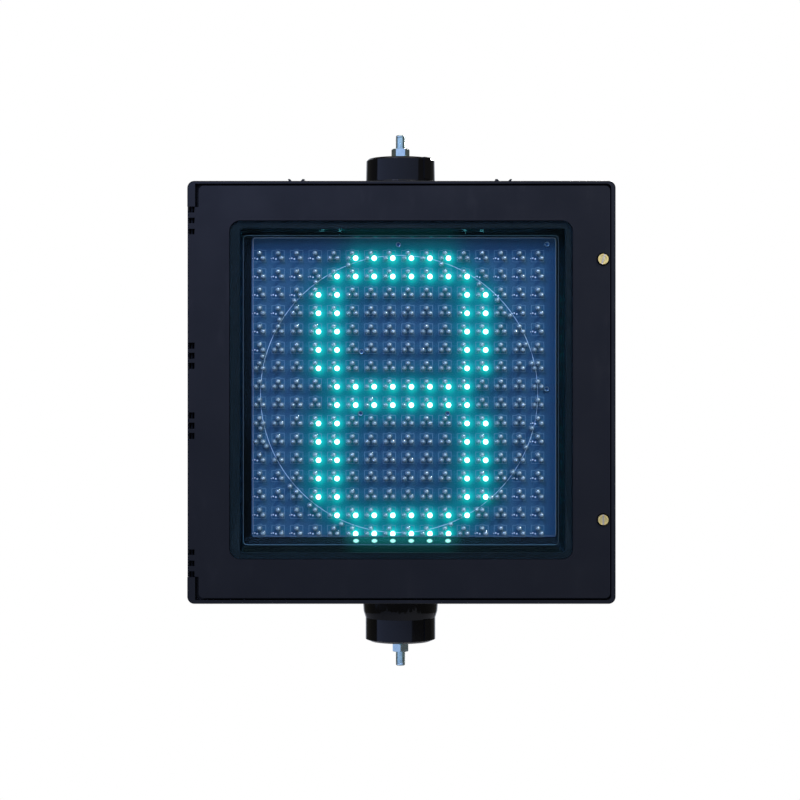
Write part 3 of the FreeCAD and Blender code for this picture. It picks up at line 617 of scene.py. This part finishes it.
def is_lit(row, column):
    """A plain figure 8 in double strokes."""
    if row in (0, 15):
        return 5 <= column <= 10
    if row in (1, 7, 8, 14):
        return 4 <= column <= 11
    return column in (3, 4, 11, 12)


lit_lamps = [p for p in greens if is_lit(*cell(p))]
dark_lamps = [p for p in greens if not is_lit(*cell(p))]


# ---------------------------------------------------------------- lamps
def epoxy_look():
    """Clear epoxy of a lamp: smooth, see-through, slightly milky."""
    look = Look("lamp_epoxy", Roughness=0.10, IOR=1.5, Alpha=0.5, Coat_Weight=0.5, Coat_Roughness=0.05)
    look.colour(look.cloudy(look.noise(900, 3), (0.23, 0.32, 0.37), (0.32, 0.43, 0.47), high=0.65))
    look.bump(look.noise(1500, 2), 0.02 * MM, 0.2)
    return look.material


def light_look(name, colour, other, strength):
    """Lamp that is switched on, its light a little uneven."""
    look = Look(name, Roughness=0.2, IOR=1.4, Emission_Strength=strength)
    uneven = look.fade(look.noise(700, 2), 0.3, 0.7, 0.0, 0.25)
    look.colour(look.mix(uneven, (0.10, 0.5, 0.42), (0.2, 0.6, 0.5)))
    look.glow(look.mix(uneven, colour, other))
    return look.material


def lamp(bm, at, lit=False):
    """Rim, straight side and dome of one 5 mm lamp; a lit dome has the second material."""
    foot = (at.x, FACE, at.z)
    dome = []
    for a in (math.radians(d) for d in (0, 22, 42, 60, 76)):
        dome.append((LAMP_RADIUS * math.cos(a), LAMP_HEIGHT - LAMP_RADIUS + LAMP_RADIUS * math.sin(a)))
    rim = [(2.88 * MM, 0.0), (2.88 * MM, 0.85 * MM), (2.62 * MM, 1.0 * MM), dome[0]]
    lathe(bm, rim, foot, FRONT, 14)
    lathe(bm, dome + [(0, LAMP_HEIGHT)], foot, FRONT, 14, 1 if lit else 0)


def leads(bm, at, cup_x, cup_z, cup):
    """The two leads inside a dark lamp: the chip's cup at its place off the middle, and a flat post."""
    profile = ((0.4 * cup, 0.3 * MM), (0.4 * cup, 3.2 * MM), (cup, 4.3 * MM), (0.92 * cup, 4.7 * MM),
               (0.6 * cup, 5.1 * MM), (0, 5.3 * MM))
    lathe(bm, profile, (at.x + cup_x, FACE, at.z + cup_z), FRONT, 10, 1)
    block(bm, (at.x - 1.6 * MM, FACE - 4.2 * MM, at.z - 0.4 * MM),
          (at.x - 1.1 * MM, FACE - 0.3 * MM, at.z + 0.4 * MM), 1)


def dark_group(lamps, cup_x, cup_z, cup):
    """Lamps that are off, with their leads to be seen inside."""
    bm = bmesh.new()
    for at in lamps:
        lamp(bm, at)
        leads(bm, at, cup_x, cup_z, cup)
    return bm


def lit_group():
    """Green lamps that are on."""
    bm = bmesh.new()
    for at in lit_lamps:
        lamp(bm, at, lit=True)
    return bm


epoxy = epoxy_look()
lit_rim = light_look("lamp_rim_lit", (0.02, 0.95, 0.84), (0.0, 0.80, 0.70), 1.0)
lit_dome = light_look("lamp_dome_lit", (0.62, 1.0, 0.94), (0.50, 1.0, 0.90), 5.0)
for name, node, slot, lamps, cup_x, cup_z, cup in (
    ("lamps_top", "leds_red", "led_clear", reds, 0.5 * MM, 0.4 * MM, 1.5 * MM),
    ("lamps_left", "leds_yellow", "led_clear", yellows, 0.3 * MM, 0.4 * MM, 1.15 * MM),
    ("lamps_edge", "leds_edge", "led_clear", edge_lamps, 0.4 * MM, 0.4 * MM, 1.3 * MM),
    ("lamps_dark", "leds_green", "led_green", dark_lamps, 0.65 * MM, 0.15 * MM, 1.6 * MM),
):
    made = piece(name, "door", dark_group(lamps, cup_x, cup_z, cup), epoxy, lead_frame, smooth=50, slot=slot)
    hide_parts(node)
piece("lamps_lit", "door", lit_group(), lit_rim, lit_dome, smooth=50, slot="led_green")


# ---------------------------------------------------------------- tray
def tray_look():
    """Dark plastic whose emission paints the lit lamps' light on the tray's walls above and below the board: a
    painted green glow, and painted reflections of the lit rows.
    """
    look = Look("tray_wall", IOR=1.26, Emission_Strength=1.0)
    look.colour(look.cloudy(look.noise(9, 4, 0.6), (0.0028, 0.0058, 0.0062), (0.0040, 0.0084, 0.0088)))
    look.rough(look.fade(look.noise(60, 6, 0.7), 0.3, 0.75, 0.38, 0.50))
    look.bump(look.cells(900, "SMOOTH_F1"), 0.03 * MM, 0.35)
    x, y, z = look.axes(look.place)
    inside = look.product(look.calc("LESS_THAN", y, tray_high.y - 1.5 * MM),
                          look.calc("GREATER_THAN", z, tray_low.z + 1.2 * MM),
                          look.calc("LESS_THAN", z, tray_high.z - 1.2 * MM))

    # Painted green glow of the lit lamps on the tray's walls, strongest just below the board.
    figure_middle = FIRST_X + 7.5 * PITCH_X
    off = look.calc("ABSOLUTE", look.calc("SUBTRACT", x, figure_middle))
    sideways = look.calc("ADD", look.fade(off, 44 * MM, 62 * MM, 1.0, 0.0),
                         look.fade(off, 50 * MM, 120 * MM, 0.10, 0.0))
    below = look.product(look.fade(z, board_low.z - 12 * MM, board_low.z - 3 * MM, 0.18, 1.0),
                         look.fade(z, board_low.z, board_low.z + 4 * MM, 1.0, 0.0))
    above = look.fade(z, board_high.z - 1 * MM, board_high.z + 1 * MM, 0.0, 0.10)
    painted_haze = look.product(look.calc("ADD", below, above), sideways, inside)

    # Painted reflections of the lowest lit row: a bright spot on the wall below the board under each lit
    # column.
    lit_width = 3.02 * PITCH_X                   # half the width of the lowest lit row
    flatten = 1.5
    from_edge = look.calc("SUBTRACT", x, FIRST_X - 0.5 * PITCH_X)
    turn = look.calc("FRACT", look.calc("DIVIDE", from_edge, PITCH_X))
    across = look.product(look.calc("SUBTRACT", turn, 0.5), PITCH_X)
    up = look.product(look.calc("SUBTRACT", z, board_low.z - 5.1 * MM), flatten)
    painted_reflections = look.fade(look.distance(across, up), 1.2 * MM, 3.4 * MM, 1.0, 0.0)
    painted_reflections = look.product(painted_reflections, look.calc("LESS_THAN", off, lit_width), inside)
    look.glow(look.mix(painted_reflections, look.mix(painted_haze, (0, 0, 0), (0.0, 0.105, 0.098)), (0.7, 1.9, 1.65)))
    return look.material


soften("board_tray", 0.4 * MM, tray_look())

# ---------------------------------------------------------------- lamp board face
GLOW_REACH = {"near": 5.6 * MM, "wide": 17.0 * MM, "painted_haze": 42.0 * MM}


def board_face():
    """Solder mask in front of the board, fine enough to carry the lamps' painted glow as attributes."""
    inset = 0.25 * MM
    columns, rows = 260, 256
    xs = np.linspace(board_low.x + inset, board_high.x - inset, columns)
    zs = np.linspace(board_low.z + inset, board_high.z - inset, rows)
    x, z = (grid.ravel() for grid in np.meshgrid(xs, zs))
    verts = np.stack([x, np.full(x.size, FACE - 0.06 * MM), z], 1)
    ids = np.arange(columns * rows).reshape(rows, columns)
    corners = (ids[:-1, :-1], ids[:-1, 1:], ids[1:, 1:], ids[1:, :-1])
    quads = np.stack([corner.ravel() for corner in corners], 1)
    mesh = bpy.data.meshes.new("solder_mask")
    mesh.from_pydata(verts.tolist(), [], quads.tolist())
    for name, reach in GLOW_REACH.items():
        light = sum(np.exp(-((x - p.x) ** 2 + (z - p.z) ** 2) / reach ** 2) for p in lit_lamps)
        if name == "painted_haze":
            light /= light.max()
        mesh.attributes.new(name, "FLOAT", "POINT").data.foreach_set("value", light.astype(np.float32))
    return mesh


def mask_look():
    """Blue solder mask with faint copper tracks under it; the lit lamps' light on it is painted, as a glow in
    its emission and a greener tint in its colour near them.
    """
    look = Look("solder_mask_blue", IOR=1.2, Emission_Strength=1.0)
    x, _, z = look.axes(look.place)
    some = look.calc("GREATER_THAN", look.noise(55, 2), 0.5)
    rows = look.product(look.stripes(z, PITCH_Z, 0.10, 0.62), 0.8)
    columns = look.product(look.stripes(x, PITCH_X, 0.07, 0.15), some)
    fine = look.product(look.stripes(z, PITCH_Z / 3, 0.16, 0.4), look.product(some, 0.5))
    copper = look.calc("MAXIMUM", rows, look.calc("MAXIMUM", columns, fine))
    near, wide, painted_haze = (look.attribute(name) for name in GLOW_REACH)
    base = look.cloudy(look.noise(14, 3), (0.022, 0.067, 0.124), (0.026, 0.077, 0.139), high=0.65)
    # Painted light of the lit lamps: the mask's colour turns greener near them.
    base = look.mix(look.fade(painted_haze, 0.25, 0.85, 0.0, 0.8), base, (0.006, 0.064, 0.114))
    base = look.mix(look.fade(wide, 0.1, 1.2), base, (0.001, 0.060, 0.104))
    look.colour(look.mix(look.product(copper, 0.6), base, (0.016, 0.084, 0.150)))
    look.rough(look.fade(look.noise(300, 4), 0.3, 0.7, 0.30, 0.42))
    look.bump(copper, 0.03 * MM, 0.5)
    look.bump(look.noise(1200, 2), 0.01 * MM, 0.4)
    patchy = look.fade(look.noise(70, 3, 0.6), 0.3, 0.7, 0.75, 1.2)
    # Painted glow round the lit lamps, near and spread wide.
    painted_halo = look.mix(look.product(near, 0.60), (0, 0, 0), (0.0, 0.95, 0.80))
    painted_spread = look.mix(look.product(wide, patchy, 0.066), (0, 0, 0), (0.0, 0.82, 0.80))
    look.glow(look.add(painted_halo, painted_spread))
    return look.material


piece("solder_mask", "door", board_face(), mask_look(), slot="board_blue")

CLUSTER_X, CLUSTER_Z = -3.5 * MM, 2.5 * MM       # middle of a cluster, from its green lamp


def silkscreen():
    """A printed outline with a round top tab at every cluster, and one large circle."""
    bm = bmesh.new()
    y, thick = FACE - 0.07 * MM, 0.03 * MM
    half, top, bottom, tab = 6.3 * MM, 5.6 * MM, -5.9 * MM, (2.2 * MM, 1.3 * MM)
    for green in greens:
        x, z = green.x + CLUSTER_X, green.z + CLUSTER_Z
        arc = [(x + tab[0] * math.cos(a), z + top + tab[1] * math.sin(a))
               for a in (math.radians(30 * i) for i in range(7))]
        corners = [(x - half, z + top), (x - half, z + bottom), (x + half, z + bottom), (x + half, z + top)]
        ribbon(bm, corners[-1:] + arc + corners[:-1], 0.32 * MM, y, thick)
    middle = (board_low + board_high) / 2
    x, z, radius, steps = middle.x - 4.65 * MM, middle.z - 6.6 * MM, 139.8 * MM, 180
    circle = [(x + radius * math.cos(a), z + radius * math.sin(a))
              for a in (2 * math.pi * i / steps for i in range(steps))]
    ribbon(bm, circle, 0.38 * MM, y, thick, 1)
    return bm


piece("silkscreen", "door", silkscreen(), ink, bright_ink, slot="board_blue")


def dished_screws():
    """Board screws: a bright ring round a hexagon socket, whose floor is a dark disc of painted shadow."""
    low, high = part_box("board_screws")
    length = high.y - low.y
    head, shank, socket = 2.7 * MM, 1.4 * MM, 1.5 * MM
    socket_depth, head_depth = 1.1 * MM, 1.3 * MM
    profile = ((socket, socket_depth), (1.7 * MM, 0.15 * MM), (2.0 * MM, 0.0), (2.35 * MM, 0.05 * MM),
               (head, 0.5 * MM), (head, head_depth), (shank, head_depth), (shank, length), (0, length))
    bm = bmesh.new()
    for screw in parts_of("board_screws"):
        at = (screw.x, low.y, screw.z)
        lathe(bm, profile, at, BACK, 24)
        lathe(bm, ((socket, socket_depth), (0, socket_depth)), at, BACK, 24, 1)
    return bm


made = piece("socket_screws", "door", dished_screws(), blued, socket_shadow, smooth=40, slot="stainless")
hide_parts("board_screws")


def solder_pads():
    """Bare soldered pads where a cluster has no left lamp."""
    pads = ((-4.9 * MM, -2.2 * MM, 0.8 * MM), (-2.3 * MM, -2.95 * MM, 0.9 * MM),
            (-6.9 * MM, -2.6 * MM, 0.42 * MM))
    bm = bmesh.new()
    filled = {cell(p) for p in yellows}
    for green in greens:
        if cell(green) in filled:
            continue
        for dx, dz, radius in pads:
            at = (green.x + CLUSTER_X + dx, FACE - 0.05 * MM, green.z + CLUSTER_Z + dz)
            profile = ((radius, 0), (0.9 * radius, 0.22 * MM), (0.5 * radius, 0.34 * MM), (0, 0.36 * MM))
            lathe(bm, profile, at, FRONT, 8)
    return bm


piece("solder_pads", "door", solder_pads(), solder, smooth=180, slot="board_blue")


# ---------------------------------------------------------------- moulded edges of the clear cover, with painted highlights
def cover_edges():
    """Beads along the rounded edges of the cover's pan, its rim and the corner of its floor, which carry
    painted highlights.
    """
    bm = bmesh.new()
    rim = rounded(board_low.x - 7.1 * MM, board_high.x + 1.3 * MM, board_low.z - 6.6 * MM,
                  board_high.z + 1.0 * MM, 4 * MM)
    floor = rounded(board_low.x + 2.3 * MM, board_high.x - 0.9 * MM, board_low.z + 1.8 * MM,
                    board_high.z - 1.0 * MM, 2.5 * MM)
    bead(bm, rim, FACE - 19.3 * MM, 0.20 * MM)
    bead(bm, floor, FACE - 14.0 * MM, 0.30 * MM, 1)
    return bm


def painted_edge_highlight(name, bottom, middle, top, right):
    """Rounded edge of the cover with a painted highlight: lighter or darker at the bottom, the top and the
    right by how much light each side catches.
    """
    look = Look(name, Roughness=0.25)
    x, _, z = look.axes(look.place)
    stops = ((0.0, bottom), (0.04, middle), (0.96, middle), (1.0, top))
    up = look.ramp(look.fade(z, board_low.z, board_high.z), stops)
    edge = look.mix(look.calc("GREATER_THAN", x, board_high.x - 1.5 * MM), up, right)
    look.colour(look.mix(look.fade(look.noise(1500, 2), 0.3, 0.7, 0.0, 0.3), edge, (0.03, 0.05, 0.07)))
    look.bump(look.noise(1500, 2), 0.01 * MM)
    return look.material


# Painted highlights of the cover's rim and floor corner, each side its own brightness.
rim_highlight = painted_edge_highlight("cover_edge", bottom=(0.075, 0.21, 0.30), middle=(0.085, 0.135, 0.175),
                     top=(0.03, 0.09, 0.10), right=(0.045, 0.075, 0.080))
floor_highlight = painted_edge_highlight("cover_edge_painted_highlight", bottom=(0.04, 0.07, 0.10), middle=(0.15, 0.18, 0.25),
                       top=(0.17, 0.19, 0.19), right=(0.115, 0.145, 0.130))
piece("cover_edges", "door", cover_edges(), rim_highlight, floor_highlight, smooth=60, slot="clear_polycarbonate")


# ---------------------------------------------------------------- camera, light, floor
def place_in_scene(name, data):
    """Object for a camera, light or mesh, which belongs to no body."""
    made = bpy.data.objects.new(name, data)
    bpy.context.scene.collection.objects.link(made)
    return made


def studio_camera():
    """Long lens straight in front, level with the middle of the signal."""
    lens = bpy.data.cameras.new("camera")
    lens.lens, lens.sensor_width = 90.4, 36.0
    lens.clip_start, lens.clip_end = 0.05, 50
    camera = place_in_scene("camera", lens)
    camera.location = (-0.0005, -2.060, 0.2575)
    camera.rotation_euler = (math.radians(90), 0, 0)
    bpy.context.scene.camera = camera


def studio_world():
    """White to the camera; everything else sees a dim room with soft panels in front, above and behind."""
    world = bpy.data.worlds.new("studio")
    bpy.context.scene.world = world
    world.use_nodes = True
    sky = Shading(world.node_tree)
    x, y, z = sky.axes(sky.node("ShaderNodeTexCoord").outputs["Generated"])
    # degrees: azimuth is 0 in front of the signal and grows to the right
    azimuth = sky.calc("DEGREES", sky.calc("ARCTAN2", x, sky.product(y, -1.0)))
    elevation = sky.calc("DEGREES", sky.calc("ARCSINE", z))

    right_end = sky.calc("ADD", sky.product(sky.step(elevation, -4.0, 2.0), 24.0), 38.0)
    past_end = sky.step(sky.calc("SUBTRACT", azimuth, right_end), -2, 2)
    across = sky.product(sky.step(azimuth, -86, -82), sky.inverse(past_end))
    front = sky.product(across, sky.window(elevation, -10.5, 62, 3))
    slope = sky.calc("ADD", sky.product(azimuth, -0.005), sky.product(elevation, 0.012))
    front = sky.product(front, sky.calc("ADD", slope, 0.94))
    above = sky.step(elevation, 55, 70)
    behind = sky.step(sky.calc("ABSOLUTE", azimuth), 148, 156)
    behind = sky.product(behind, sky.window(elevation, -20, 60, 8))

    lighting = (0.080, 0.078, 0.074)
    panels = ((front, (0.31, 0.40, 0.72)), (above, (0.60, 0.588, 0.57)), (behind, (0.40, 0.44, 0.52)))
    for share, colour in panels:
        panel = sky.node("ShaderNodeVectorMath", operation="SCALE")
        panel.inputs[0].default_value = colour
        sky.link(share, panel.inputs["Scale"])
        lighting = sky.add(lighting, panel.outputs[0])
    room = sky.fill(sky.node("ShaderNodeBackground"), lighting)
    white = sky.fill(sky.node("ShaderNodeBackground"), (1, 1, 1))
    from_camera = sky.node("ShaderNodeLightPath").outputs["Is Camera Ray"]
    mixed = sky.fill(sky.node("ShaderNodeMixShader"), from_camera, room, white)
    sky.link(mixed, sky.node("ShaderNodeOutputWorld").inputs[0])


def area_light(name, at, size, power, colour):
    """Round light that faces the middle of the signal."""
    middle = Vector((0, 0, 0.26))
    light = bpy.data.lights.new(name, "AREA")
    light.shape, light.size, light.energy, light.color = "DISK", size, power, colour
    made = place_in_scene(name, light)
    made.location = at
    made.rotation_mode = "QUATERNION"
    made.rotation_quaternion = (middle - Vector(at)).to_track_quat("-Z", "Y")


def studio_floor():
    """Pale floor well below the signal, which hangs in the air from its bracket."""
    bm = bmesh.new()
    bmesh.ops.create_grid(bm, x_segments=2, y_segments=2, size=1.55)
    mesh = bpy.data.meshes.new("floor")
    bm.to_mesh(mesh)
    bm.free()
    floor = place_in_scene("floor", mesh)
    floor.location = (0, 0, -0.5)
    look = Look("pale_floor", Roughness=0.7)
    look.colour(look.mix(look.noise(6, 3), (0.22, 0.22, 0.22), (0.24, 0.24, 0.24)))
    mesh.materials.append(look.material)


studio_camera()
studio_world()
area_light("key", (1.35, -1.7, 2.2), 0.5, 66, (1.0, 0.97, 0.92))
area_light("window", (-0.45, -1.35, 1.32), 0.5, 20, (0.46, 0.54, 1.0))
area_light("rear", (0.8, 2.3, 1.4), 0.8, 45, (1.0, 0.98, 0.96))
studio_floor()
bpy.context.scene.view_settings.view_transform = "Standard"
